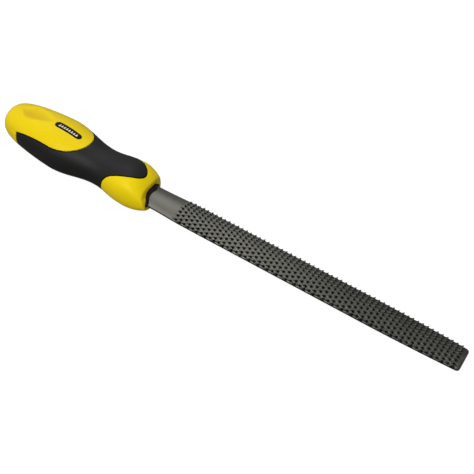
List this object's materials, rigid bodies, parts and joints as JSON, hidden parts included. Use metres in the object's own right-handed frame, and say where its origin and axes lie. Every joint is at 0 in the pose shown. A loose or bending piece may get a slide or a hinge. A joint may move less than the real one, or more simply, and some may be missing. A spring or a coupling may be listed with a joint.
{
  "type": "wood rasp",
  "caption": "Half-round wood rasp with punched teeth on both faces, a tapered tang and an oval moulded handle with a soft grip sleeve.",
  "frame": {"origin": "the middle of the smooth flat underside of the blade's heel, 11 mm in front of the handle's mouth", "axes": "+X along the blade to its tip, +Z out of the rounded face, -Y and +Y towards the blade's two edges"},
  "size_m": [0.3086, 0.0336, 0.0306],
  "materials": {
    "blade_steel": "hardened tool steel, dark grey, ground at the heel and toothed beyond it",
    "core_plastic": "black hard plastic, matt",
    "shell_plastic": "yellow hard plastic, satin",
    "grip_rubber": "black soft-touch elastomer, fine matt texture",
    "badge_plastic": null
  },
  "bodies": {
    "root": {"rasp_blade": "blade_steel", "tang_core": "core_plastic", "handle_shell": "shell_plastic", "soft_grip": "grip_rubber", "badge": "badge_plastic"}
  },
  "joints": []
}
